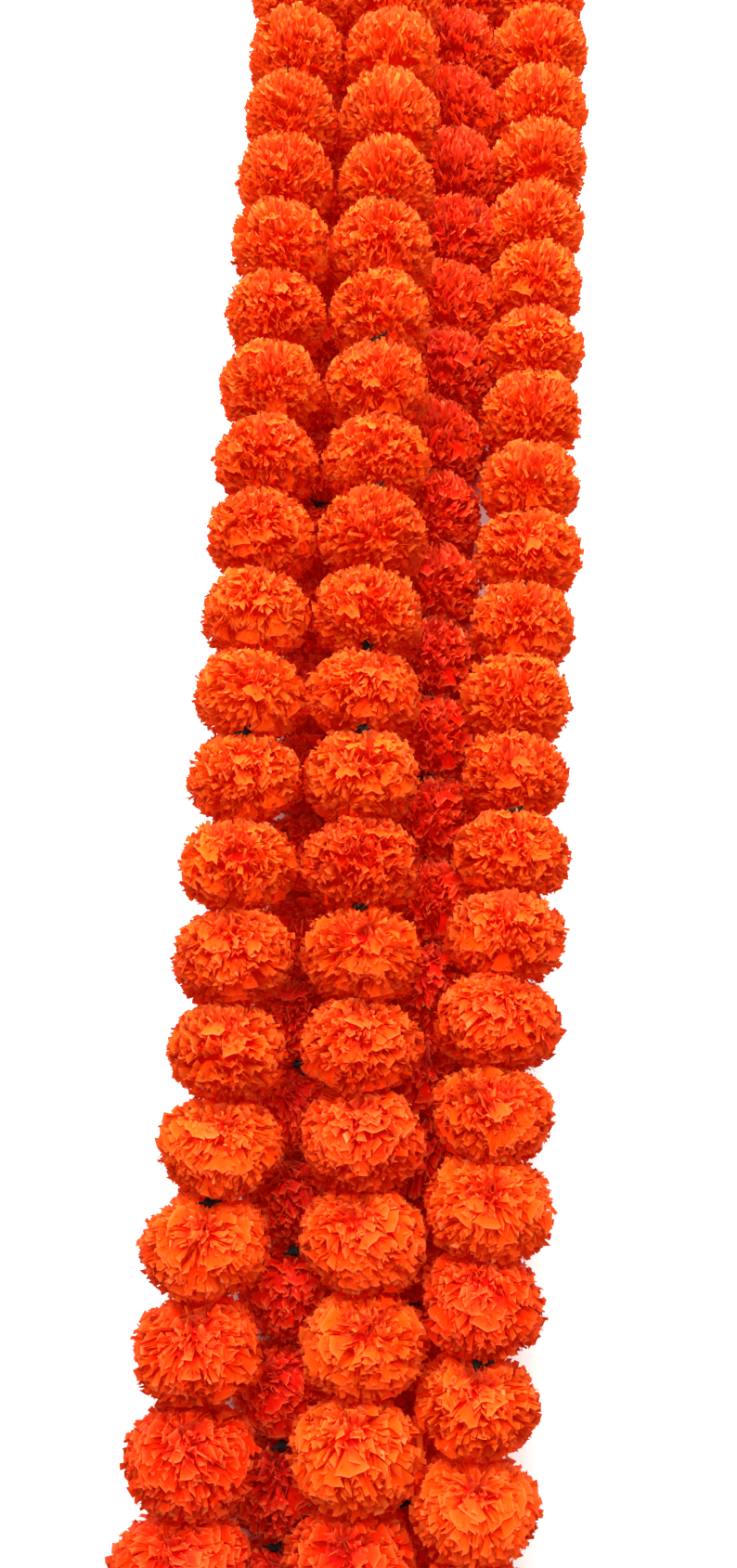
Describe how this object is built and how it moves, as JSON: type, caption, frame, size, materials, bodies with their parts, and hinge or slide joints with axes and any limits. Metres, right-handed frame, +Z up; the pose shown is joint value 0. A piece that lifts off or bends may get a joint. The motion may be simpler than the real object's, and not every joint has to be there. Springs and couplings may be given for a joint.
{
  "type": "marigold garland",
  "caption": "Long garland of pompom marigold blooms in pleated orange film on one black string, folded into parallel runs and laid down.",
  "frame": {"origin": "middle of the laid garland, on the surface it lies on", "axes": "+Z up, +Y along the runs towards the string's first loose end, +X across the runs to the right seen from above"},
  "size_m": [0.3272, 1.4084, 0.1353],
  "materials": {
    "petals": "matt thin pleated film, slightly see-through",
    "string": "matt twisted cord"
  },
  "bodies": {
    "root": {"run_1_blooms_01": "petals", "run_1_blooms_02": "petals", "run_1_blooms_03": "petals", "run_1_blooms_04": "petals", "run_1_blooms_05": "petals", "run_1_blooms_06": "petals", "run_1_blooms_07": "petals", "run_1_blooms_08": "petals", "run_1_blooms_09": "petals", "run_1_blooms_10": "petals", "run_2_blooms_01": "petals", "run_2_blooms_02": "petals", "run_2_blooms_03": "petals", "run_2_blooms_04": "petals", "run_2_blooms_05": "petals", "run_2_blooms_06": "petals", "run_2_blooms_07": "petals", "run_2_blooms_08": "petals", "run_2_blooms_09": "petals", "run_2_blooms_10": "petals", "run_3_blooms_01": "petals", "run_3_blooms_02": "petals", "run_3_blooms_03": "petals", "run_3_blooms_04": "petals", "run_3_blooms_05": "petals", "run_3_blooms_06": "petals", "run_3_blooms_07": "petals", "run_3_blooms_08": "petals", "run_3_blooms_09": "petals", "run_3_blooms_10": "petals", "run_3_blooms_11": "petals", "run_4_blooms_01": "petals", "run_4_blooms_02": "petals", "run_4_blooms_03": "petals", "run_4_blooms_04": "petals", "run_4_blooms_05": "petals", "run_4_blooms_06": "petals", "run_4_blooms_07": "petals", "run_4_blooms_08": "petals", "run_4_blooms_09": "petals", "run_4_blooms_10": "petals", "run_4_blooms_11": "petals", "run_5_blooms_01": "petals", "run_5_blooms_02": "petals", "run_5_blooms_03": "petals", "run_5_blooms_04": "petals", "run_5_blooms_05": "petals", "run_5_blooms_06": "petals", "run_5_blooms_07": "petals", "run_5_blooms_08": "petals", "run_5_blooms_09": "petals", "run_5_blooms_10": "petals", "run_5_blooms_11": "petals", "string": "string", "turn_1_bloom": "petals", "turn_2_bloom": "petals", "turn_3_bloom": "petals", "turn_4_bloom": "petals"}
  },
  "joints": []
}
